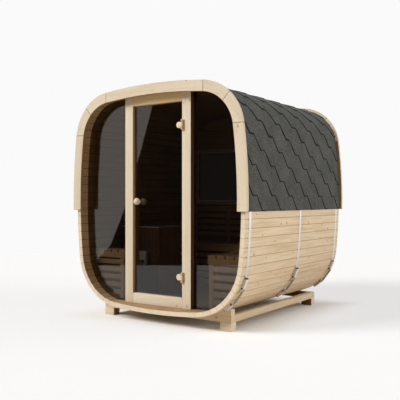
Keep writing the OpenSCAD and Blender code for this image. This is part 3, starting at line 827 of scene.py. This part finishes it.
def shingle_row(bm, row, side):
    """A row of shingles, drawn flat, cut to the roof and bent over the staves."""
    sheet = bmesh.new()
    foot = row * ROW
    flat_row(sheet, TAB_PHASE + (0.0 if row % 2 else TAB / 2), foot, SHADOW_RIM_ROWS.get(row, TAB_SHADOW_RIM))
    for point, outward in (
        ((-STAVE_END + FELT_FIT, 0, 0), (-1, 0, 0)), ((STAVE_END - FELT_FIT, 0, 0), (1, 0, 0)),
        ((0, 0, 0), (0, -1, 0)), ((0, ROOF_LEN - RIDGE_FIT, 0), (0, 1, 0)),
    ):
        cut_off(sheet, Vector(point), Vector(outward))
    bmesh.ops.recalc_face_normals(sheet, faces=sheet.faces)
    for f in sheet.faces:
        if f.normal.z < 0.9:
            f.material_index = FACED
    for v in sheet.verts:
        upper = max(LIFT * (1.0 - (v.co.y - foot) / (2 * ROW)), LEAST_LIFT)
        height = max(upper - LAYER + v.co.z, FELT_FIT)
        x, z = up_the_side(v.co.y, height)
        v.co = Vector((side * x, v.co.x, z))
    join_into(bm, sheet)


def shingle_slope(name, side, replaced):
    """All the rows of one side of the roof."""
    bm = bmesh.new()
    for row in range(-1, math.ceil(ROOF_LEN / ROW)):
        shingle_row(bm, row, side)
    bmesh.ops.recalc_face_normals(bm, faces=bm.faces)
    piece(name, bm, [SHINGLE_FACE, SHINGLE_EDGE_AND_SHADOW], replaced, 20.0)


def ridge_caps():
    """Lapped caps along the middle of the roof."""
    bm = bmesh.new()
    y = -STAVE_END + RIDGE_FIT
    while y < STAVE_END - 0.01:
        end = min(y + CAP_LONG, STAVE_END - RIDGE_FIT)
        for v in add_box(bm, (-CAP_HALF, y, 0.0), (CAP_HALF, end, 1.0)):
            run = (v.co.y - y) / CAP_LONG
            v.co.z = LIFT + CAP_T - CAP_TILT * run - (CAP_T if v.co.z < 0.5 else 0.0)
        y += CAP_STEP
    edges = [e for e in bm.edges if abs(e.verts[0].co.x - e.verts[1].co.x) > 0.1]
    bmesh.ops.subdivide_edges(bm, edges=edges, cuts=6, use_grid_fill=True)
    bm.normal_update()
    for f in bm.faces:
        f.material_index = PLAIN if f.normal.z > 0.5 else FACED
    for v in bm.verts:
        v.co.z = up_the_side(ROOF_LEN - abs(v.co.x), v.co.z)[1]
    bmesh.ops.recalc_face_normals(bm, faces=bm.faces)
    piece("ridge_caps", bm, [SHINGLE_FACE, SHINGLE_EDGE_AND_SHADOW])


shingle_slope("right_shingles", 1, ["roof_covering"])
shingle_slope("left_shingles", -1, ["roof_covering"])
ridge_caps()

# Bands and tensioners


def dress(node, material):
    """Gives a CAD node its finish."""
    ob = nodes[node]
    ob.data.materials.clear()
    ob.data.materials.append(material)


for node in ("steel_bands", "hinge_pins"):
    dress(node, BAND_STEEL)
dress("tension_brackets", BRACKET_STEEL)
dress("tension_rods", TENSION_STEEL)

BAND_PLACES = (-0.943, 0.042, 0.943)
JOINT_SHADOW_LONG = 0.013
JOINT_SHADOW_HIGH = 0.0075
JOINT_SHADOW_DEEP = 0.003
JOINT_SHADOW_PROUD = 0.0004
JOINT_SHADOW_UNDER = 0.001
# Brackets: degrees below level at the rod's end and at the far end, then lengths
BRACKET_ENDS = ((29.3, 17.6), (43.7, 55.4))
COVER_SHY = 0.7
OPEN_PAST = 0.9
OPEN_DEEP = 1.6
BOLT_AT = 2.4
BRACKET_HALF = 0.02
BRACKET_FACE = 0.0245
COVER_T = 0.0018
COVER_EASE = 0.0006
OPEN_SHY = 0.0035
OPEN_HEIGHTS = (0.0056, BRACKET_FACE - 0.0004)
BOLT_R = 0.0085
BOLT_LONG = 0.0024
BOLT_OUT = 0.0135
BOLT_PROUD = 0.0014
ROD_OUT = 0.024
SLEEVE_R = 0.0095
SLEEVE_SHY = 0.016


def round_the_corner(degrees, y, height):
    """Point at an angle below level on the right lower corner, at a height over the staves."""
    ang = math.radians(degrees)
    reach = LOW_CORNER_R + height
    return Vector((LOW_X + reach * math.cos(ang), y, MID_Z - LOW_Z - reach * math.sin(ang)))


def corner_plate(bm, degrees, across, heights):
    """A plate bent round the corner, between two angles, two places along the cabin and two heights."""
    part = bmesh.new()
    add_box(part, (degrees[0], across[0], heights[0]), (degrees[1], across[1], heights[1]))
    along = [e for e in part.edges if abs(e.verts[0].co.x - e.verts[1].co.x) > 0.1]
    bmesh.ops.subdivide_edges(part, edges=along, cuts=3, use_grid_fill=True)
    for v in part.verts:
        v.co = round_the_corner(*v.co)
    bmesh.ops.recalc_face_normals(part, faces=part.faces)
    join_into(bm, part)


def tension_fittings():
    """Bright covers on the brackets, dark plates in their open ends as painted shade, bolts, and a sleeve on
    each rod.
    """
    covers, dark_ends_and_bolts, sleeves = bmesh.new(), bmesh.new(), bmesh.new()
    for y in BAND_PLACES:
        for inner, outer in BRACKET_ENDS:
            away = 1 if outer > inner else -1
            ends = sorted((inner + COVER_SHY * away, outer))
            across = (y - BRACKET_HALF, y + BRACKET_HALF)
            corner_plate(covers, ends, across, (BRACKET_FACE, BRACKET_FACE + COVER_T))
            # A dark plate inside each open end is painted shade.
            ends = sorted((outer + OPEN_PAST * away, outer - OPEN_DEEP * away))
            across = (y - BRACKET_HALF + OPEN_SHY, y + BRACKET_HALF - OPEN_SHY)
            corner_plate(dark_ends_and_bolts, ends, across, OPEN_HEIGHTS)
            for side in (-1, 1):
                along = y + side * (BRACKET_HALF + BOLT_PROUD)
                spot = round_the_corner(inner + BOLT_AT * away, along, BOLT_OUT)
                add_disc(dark_ends_and_bolts, BOLT_R, BOLT_LONG, facing_front(spot), 12)
        upper, lower = [round_the_corner(inner, y, ROD_OUT) for inner, outer in BRACKET_ENDS]
        turn = (lower - upper).to_track_quat("Z", "Y").to_matrix().to_4x4()
        place = Matrix.Translation((upper + lower) / 2) @ turn
        add_disc(sleeves, SLEEVE_R, (lower - upper).length - SLEEVE_SHY, place, 20)
    ease_edges(covers, COVER_EASE, 1)
    piece("bracket_covers", covers, [COVER_STEEL])
    piece("bracket_bolts_and_painted_shade", dark_ends_and_bolts, [BOLT_AND_SHADE_BLACK])
    piece("rod_sleeves", sleeves, [TENSION_STEEL])


def band_joint_shadows():
    """Dark blocks beside each steel band at the stave joints, as painted shadow."""
    edges = [low.y for low, high in solid_boxes("steel_bands")]
    joint_shadow_blocks = bmesh.new()
    for wall in ("left_wall", "right_wall", "lower_left_corner", "lower_right_corner"):
        staves = node_copy(wall)
        staves.normal_update()
        for group in solids_of(staves):
            faces = [f for f in faces_of(group) if abs(f.normal.y) < 0.5]
            out = stave_normal(faces)
            middle = middle_of(group)
            if out.dot(Vector((middle.x, 0.0, middle.z - MID_Z))) < 0:
                out = -out
            skin = max(v.co.dot(out) for v in group)
            up = out.cross(Vector(ALONG))
            joint = max(faces, key=lambda f: f.calc_area() if f.normal.dot(up) > 0.9 else 0.0)
            spot = joint.calc_center_median()
            spot += out * (skin - spot.dot(out) - JOINT_SHADOW_DEEP / 2 + JOINT_SHADOW_PROUD)
            turn = Matrix((up, ALONG, out)).transposed().to_4x4()
            size = Matrix.Diagonal((JOINT_SHADOW_HIGH, JOINT_SHADOW_LONG, JOINT_SHADOW_DEEP, 1.0))
            for y in edges:
                spot.y = y + JOINT_SHADOW_UNDER - JOINT_SHADOW_LONG / 2
                bmesh.ops.create_cube(joint_shadow_blocks, size=1.0, matrix=Matrix.Translation(spot) @ turn @ size)
        staves.free()
    bmesh.ops.recalc_face_normals(joint_shadow_blocks, faces=joint_shadow_blocks.faces)
    mark_boards(joint_shadow_blocks, 405)
    piece("band_joint_shadows", joint_shadow_blocks, [ARCH_JOINT_AND_SHADOW])


tension_fittings()
band_joint_shadows()
for node in ("left_glass_pane", "right_glass_pane", "door_glass"):
    dress(node, TINTED)
dress("window_glass", DARK_TINTED)

# Benches

SEAT_BOARD = 0.0825
SEAT_GAP = 0.0145
SEAT_EASE = 0.003
LEAST_BOARD = 0.02
GAP_SHADOW_FIT = 0.0003
GAP_SHADOW_SHY = 0.003
GAP_SHADOW_DOWN = 0.005
SLAT_H = 0.048
SLAT_GAP = 0.028
SLAT_EASE = 0.0025
LEAST_SLAT = 0.03
APRON = 0.056
POST = 0.046
POST_INSET = 0.012
POST_FIT = 0.001
END_SLAT_GAP = 0.016
END_SLAT_SHY = 0.002
SCREEN_T = 0.03
LEFT_BENCH_END = -0.715
BACK_TOP = 0.066
BACK_T = 0.02
BACK_FIT = 0.0005
BACK_SHY = 0.024
BACK_POSTS = (-0.84, -0.36, 0.12, 0.6, 0.86)


def add_sided_box(bm, side, xs, ys, zs):
    """A box on one side of the cabin, with its widths counted out from the middle."""
    ends = sorted((side * xs[0], side * xs[1]))
    add_box(bm, (ends[0], ys[0], zs[0]), (ends[1], ys[1], zs[1]))


def bench_side(low, high):
    """The side of the cabin that a bench is on, and the bench's inner edge out from the middle."""
    return (1, low.x) if low.x > 0 else (-1, -high.x)


def bench_seats():
    """Seat boards along the sides and the rear, with dark battens in the gaps as painted shade."""
    left, rear, right = sorted(solid_boxes("bench_seats"), key=lambda b: (b[0].x + b[1].x))
    left[1].y = LEFT_BENCH_END
    boards, gap_shadow_battens = bmesh.new(), bmesh.new()
    for low, high in (left, right):
        wall = wall_at(low.z)
        side, x = bench_side(low, high)
        while x < wall - LEAST_BOARD:
            end = min(x + SEAT_BOARD, wall)
            add_sided_box(boards, side, (x, end), (low.y, high.y), (low.z, high.z))
            if end < wall - LEAST_BOARD:
                # A near-black batten in each gap is painted shade.
                add_sided_box(
                    gap_shadow_battens, side, (end + GAP_SHADOW_FIT, end + SEAT_GAP - GAP_SHADOW_FIT),
                    (low.y + GAP_SHADOW_SHY, high.y - GAP_SHADOW_SHY), (low.z, high.z - GAP_SHADOW_DOWN),
                )
            x = end + SEAT_GAP
    low, high = rear
    wall = wall_at(low.z)
    y = low.y
    while y < high.y - LEAST_BOARD:
        end = min(y + SEAT_BOARD, high.y)
        add_box(boards, (-wall, y, low.z), (wall, end, high.z))
        y = end + SEAT_GAP
    ease_edges(boards, SEAT_EASE)
    mark_boards(boards, 401)
    mark_boards(gap_shadow_battens, 404)
    piece("bench_boards", boards, [BENCH_SPRUCE], ["bench_seats"])
    piece("seat_gap_shadow_battens", gap_shadow_battens, [JAMB_AND_GAP_SHADE])


def slat_heights(foot, top):
    """Lower and upper height of each level slat, from the top down."""
    while top - SLAT_H > foot:
        yield top - SLAT_H, top
        top -= SLAT_H + SLAT_GAP


def rear_screen(bm, low, high):
    """Apron and slats from wall to wall under the rear bench."""
    apron = high.z - APRON
    for a, b in ((apron, high.z), *slat_heights(low.z, apron - SLAT_GAP)):
        wall = wall_at(a)
        add_box(bm, (-wall, low.y, a), (wall, high.y, b))


def end_screen(bm, low, high):
    """Apron, post and slats at the front end of a side bench."""
    side, inner = bench_side(low, high)
    apron = high.z - APRON
    ys = (low.y, high.y)
    add_sided_box(bm, side, (inner, wall_at(apron)), ys, (apron, high.z))
    post = inner + POST_INSET
    foot = floor_under(post + POST)
    add_sided_box(bm, side, (post, post + POST), ys, (foot, apron - POST_FIT))
    start = post + POST + POST_FIT
    for a, b in slat_heights(low.z, apron - END_SLAT_GAP):
        wall = wall_at(a)
        if wall >= start + LEAST_SLAT:
            add_sided_box(bm, side, (start, wall), (low.y + END_SLAT_SHY, high.y - POST_FIT), (a, b))


def side_screen(bm, low, high):
    """Apron and slats along a side bench."""
    if high.x < 0:
        high.y = LEFT_BENCH_END
    apron = high.z - APRON
    for a, b in ((apron, high.z), *slat_heights(low.z, apron - SLAT_GAP)):
        add_box(bm, (low.x, low.y, a), (high.x, high.y, b))


def bench_screens():
    """The slatted screens under the benches."""
    bm = bmesh.new()
    for low, high in solid_boxes("bench_screens"):
        size = high - low
        if size.y >= SCREEN_T:
            side_screen(bm, low, high)
        elif size.x > 1.0:
            rear_screen(bm, low, high)
        else:
            end_screen(bm, low, high)
    ease_edges(bm, SLAT_EASE)
    mark_boards(bm, 402)
    piece("bench_slats", bm, [BENCH_SPRUCE], ["bench_screens"])


def back_slats():
    """Level slats on upright posts."""
    low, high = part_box("backrest")
    bm = bmesh.new()
    half = inside_half(low.z) - BACK_SHY
    mid_y = low.y + BACK_T
    top = high.z - BACK_TOP
    for a, b in ((top, high.z), *slat_heights(low.z, top - SLAT_GAP)):
        add_box(bm, (-half, low.y, a), (half, mid_y - BACK_FIT, b))
    for x in BACK_POSTS:
        add_box(bm, (x - POST / 2, mid_y, low.z), (x + POST / 2, high.y, high.z))
    ease_edges(bm, SLAT_EASE)
    mark_boards(bm, 403)
    piece("backrest_slats", bm, [BENCH_SPRUCE], ["backrest"])


bench_seats()
bench_screens()
back_slats()

# Heater

REED = 0.0155
REED_GAP = 0.003
REED_BACK = 0.008
GUARD_CAP = 0.006
GUARD_CAP_FIT = 0.0005
GUARD_MID_Y = -0.3
STONE_STEP = 0.062
STONE_LAYERS = (-0.05, -0.012, 0.016)
STONE_RADII = ((0.026, 0.038), (0.024, 0.034), (0.02, 0.03))
FIRST_X, FIRST_Y = 0.045, 0.04
WELL_SHY_X, WELL_SHY_Y = 0.06, 0.05
TOP_LEFT_OUT = 0.45
STONE_SHIFT = 0.008
STONE_ROUGH = 0.0022
WELL_EDGE = 0.04
RIM_T = 0.003
RIM_H = 0.02
RIM_FIT = 0.0003
DIAL_R = 0.017
DIAL_TIP_R = 0.0153
DIAL_LONG = 0.012
DIAL_PLACES = ((0.3, 0.32), (0.7, 0.32))
CASE_EASE = 0.006


def guard_reeds():
    """Narrow upright reeds on a backing board, under a bright cap strip."""
    bm = bmesh.new()
    caps = bmesh.new()
    for low, high in solid_boxes("heater_guard"):
        size = high - low
        level = 0 if size.x > size.y else 1
        across = 1 - level
        outer_is_high = (low[across] + high[across]) / 2 > GUARD_MID_Y or across == 0
        outer, inner = (high[across], low[across]) if outer_is_high else (low[across], high[across])
        face = outer + (REED_BACK - abs(outer - inner)) * (1 if outer > inner else -1)
        count = int((size[level] + REED_GAP) / (REED + REED_GAP))
        pitch = (size[level] + REED_GAP) / count
        for k in range(count):
            a = low[level] + k * pitch
            b = a + pitch - REED_GAP
            foot = max(floor_under(a), floor_under(b)) if level == 0 else low.z
            for near, far, grow in ((outer, face, 0.0), (face, inner, REED_GAP)):
                lo, hi = [0, 0, foot], [0, 0, high.z - GUARD_CAP - GUARD_CAP_FIT]
                lo[level], hi[level] = a, min(b + grow, high[level])
                lo[across], hi[across] = sorted((near, far))
                add_box(bm, lo, hi)
        add_box(caps, (low.x, low.y, high.z - GUARD_CAP), high)
    mark_boards(bm, 410, UPRIGHT)
    # Side faces take the lighter copy and front faces the darker: painted light and shade.
    for f in bm.faces:
        f.material_index = FACED if abs(f.normal.x) > 0.7 else PLAIN
    piece("guard_reeds", bm, [GUARD_SHADE_WOOD, REED_SIDE_LIGHT_WOOD], ["heater_guard"])
    piece("guard_caps", caps, [CAP_STEEL])


guard_reeds()
dress("heater", HEATER_BLACK)


def heater_stones():
    """A heap of stones in the heater's well, and a black rim around it."""
    low, high = max(solid_boxes("heater"), key=lambda b: (b[1].z - b[0].z))
    rng = random.Random(420)
    bm = bmesh.new()
    nx = int((high.x - low.x - WELL_SHY_X) / STONE_STEP)
    ny = int((high.y - low.y - WELL_SHY_Y) / STONE_STEP)
    for layer, over in enumerate(STONE_LAYERS):
        odd = layer % 2
        for i in range(nx):
            for j in range(ny):
                if layer == 2 and rng.random() < TOP_LEFT_OUT:
                    continue
                x = low.x + FIRST_X + (i + 0.5 * odd) * STONE_STEP + rng.uniform(-STONE_SHIFT, STONE_SHIFT)
                y = low.y + FIRST_Y + (j + 0.4 * odd) * STONE_STEP + rng.uniform(-STONE_SHIFT, STONE_SHIFT)
                if x > high.x - WELL_EDGE or y > high.y - WELL_EDGE:
                    continue
                radii = [rng.uniform(*span) for span in STONE_RADII]
                turn = Matrix.Rotation(rng.uniform(0, math.pi), 4, "Z")
                turn @= Matrix.Rotation(rng.uniform(-0.4, 0.4), 4, "X")
                place = Matrix.Translation((x, y, high.z + over)) @ turn @ Matrix.Diagonal((*radii, 1.0))
                made = bmesh.ops.create_icosphere(bm, subdivisions=2, radius=1.0, matrix=place)
                for v in made["verts"]:
                    v.co += Vector([rng.uniform(-1, 1) for axis in range(3)]) * STONE_ROUGH
    piece("heater_stones", bm, [STONE], (), 60.0)
    rim = bmesh.new()
    foot, top = high.z - RIM_H, high.z + RIM_T
    for x0, x1, y0, y1 in (
        (low.x - RIM_T, high.x + RIM_T, low.y - RIM_T, low.y - RIM_FIT),
        (low.x - RIM_T, high.x + RIM_T, high.y + RIM_FIT, high.y + RIM_T),
        (low.x - RIM_T, low.x - RIM_FIT, low.y, high.y),
        (high.x + RIM_FIT, high.x + RIM_T, low.y, high.y),
    ):
        add_box(rim, (x0, y0, foot), (x1, y1, top))
    piece("heater_rim", rim, [HEATER_BLACK])


heater_stones()


def control_face():
    """The control box with a rounded case and two dials."""
    low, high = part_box("control_box")
    bm = bmesh.new()
    add_box(bm, low, high)
    ease_edges(bm, CASE_EASE, 3)
    piece("control_case", bm, [CONTROL_GREY], ["control_box"])
    dials = bmesh.new()
    size = high - low
    for x, z in DIAL_PLACES:
        place = facing_front((low.x + size.x * x, low.y - DIAL_LONG / 2, low.z + size.z * z))
        bmesh.ops.create_cone(
            dials, cap_ends=True, segments=24, radius1=DIAL_R, radius2=DIAL_TIP_R, depth=DIAL_LONG,
            matrix=place,
        )
    piece("control_dials", dials, [HEATER_BLACK])


control_face()

# Studio

WHITE = 0.955
AMBIENT = 0.13
AMBIENT_TONE = (1.0, 0.86, 0.7, 1.0)
LIGHTER = 0.6
FLOOR_BOUNCE = (0.77, 0.7, 0.6, 1.0)
FLOOR_TONE = (0.95, 0.95, 0.95, 1.0)
FLOOR_FADE = (3.5, 9.0)
FLOOR_HALF = 60.0
SHADOW_X = 0.75
SHADOW_Y = 0.9
LAMPS = [("key_lamp", 35, 36, 24, 0.88), ("side_lamp", -118, 14, 60, 0.66), ("top_lamp", 0, 89, 140, 0.2)]
CAMERA_PLACE = (3.633, -5.495, 1.172)
CAMERA_TURN = 34.75
CAMERA_LENS = 55.2
CARD_MID = Vector((-2.591, -5.329, 0.0))
CARD_ALONG = Vector((0.8216, -0.57, 0.0))
CARD_OUT = Vector((0.57, 0.8216, 0.0))
DARK_CARD = ((-5.0, 0.01), (3.0, 0.01), (3.0, 4.4), (-5.0, 4.4))
PALE_CARD = (
    (-1.99, 0.015), (-1.83, 0.105), (-1.595, 0.37), (-1.35, 0.99), (-1.035, 2.02), (-0.445, 4.3),
    (-5.0, 4.3), (-5.0, 0.015),
)


def studio_world():
    """A white backdrop to look at, and a low warm light all round."""
    scene.world = bpy.data.worlds.new("studio")
    s = Shader(scene.world, "OutputWorld")
    light = s.node("Background", Color=AMBIENT_TONE, Strength=AMBIENT).outputs[0]
    white = s.node("Background", Color=rgba(1, 1, 1), Strength=WHITE).outputs[0]
    s.finish(s.mix_shaders(s.seen(), light, white))


def stage_sheet(name, bm, material):
    """A flat mesh of the studio."""
    mesh = bpy.data.meshes.new(name)
    bm.to_mesh(mesh)
    bm.free()
    mesh.materials.append(material)
    ob = bpy.data.objects.new(name, mesh)
    scene.collection.objects.link(ob)
    return ob


def studio_floor():
    """A pale floor that keeps the shadow near the cabin and fades into the white backdrop."""
    s = new_finish("studio_floor")
    place = s.node("TexCoord").outputs["Object"]
    away = s.node("VectorMath", {"operation": "LENGTH"})
    s.feed(away.inputs[0], place)
    far = s.ramp(away.outputs["Value"], *FLOOR_FADE)
    seen = s.seen()
    tone = s.mix(seen, FLOOR_BOUNCE, FLOOR_TONE)
    matt = s.node("BsdfDiffuse", Color=tone).outputs[0]
    glow = s.node("Emission", Color=rgba(1, 1, 1), Strength=WHITE).outputs[0]
    spot = s.node("SeparateXYZ", Vector=place)
    past_x = s.math("SUBTRACT", s.math("ABSOLUTE", spot.outputs[0]), SHADOW_X)
    past_y = s.math("SUBTRACT", s.math("ABSOLUTE", spot.outputs[1]), SHADOW_Y)
    clear = s.ramp(s.math("MAXIMUM", past_x, past_y), -0.05, 0.5)
    lighter = s.math("MAXIMUM", s.math("MULTIPLY", clear, LIGHTER), far)
    material = s.finish(s.mix_shaders(s.math("MULTIPLY", lighter, seen), matt, glow))
    bm = bmesh.new()
    bmesh.ops.create_grid(bm, x_segments=1, y_segments=1, size=FLOOR_HALF)
    stage_sheet("studio_floor", bm, material)


def glass_card(name, outline, forward, strength, tone):
    """A flat card in front of the cabin that only shows as a sheen in the glass."""
    s = new_finish(name)
    material = s.finish(s.node("Emission", Color=rgba(*tone), Strength=strength).outputs[0])
    bm = bmesh.new()
    foot = CARD_MID + CARD_OUT * forward
    bm.faces.new([bm.verts.new(foot + CARD_ALONG * along + Vector((0, 0, z))) for along, z in outline])
    ob = stage_sheet(name, bm, material)
    ob.visible_camera = False
    ob.visible_diffuse = False
    ob.visible_shadow = False
    ob.visible_transmission = False


def studio_lights():
    """Wide soft lamps: name, degrees left of the front, height angle, width angle, level."""
    for name, left, up, wide, level in LAMPS:
        sun = bpy.data.lights.new(name, "SUN")
        sun.energy = level * math.pi
        sun.angle = math.radians(wide)
        lamp = bpy.data.objects.new(name, sun)
        scene.collection.objects.link(lamp)
        az, el = math.radians(left), math.radians(up)
        towards = Vector((-math.sin(az) * math.cos(el), -math.cos(az) * math.cos(el), math.sin(el)))
        lamp.rotation_mode = "QUATERNION"
        lamp.rotation_quaternion = towards.to_track_quat("Z", "Y")


def studio_camera():
    """The view of the right front corner."""
    data = bpy.data.cameras.new("camera")
    data.lens = CAMERA_LENS
    data.sensor_width = 36.0
    cam = bpy.data.objects.new("camera", data)
    scene.collection.objects.link(cam)
    cam.location = CAMERA_PLACE
    cam.rotation_euler = (math.radians(90), 0.0, math.radians(CAMERA_TURN))
    scene.camera = cam


studio_world()
studio_floor()
glass_card("dark_card", DARK_CARD, 0.0, 0.026, (1.0, 1.0, 1.0))
glass_card("pale_card", PALE_CARD, 0.02, 1.25, (1.0, 0.95, 0.9))
studio_lights()
studio_camera()
scene.view_settings.view_transform = "Standard"
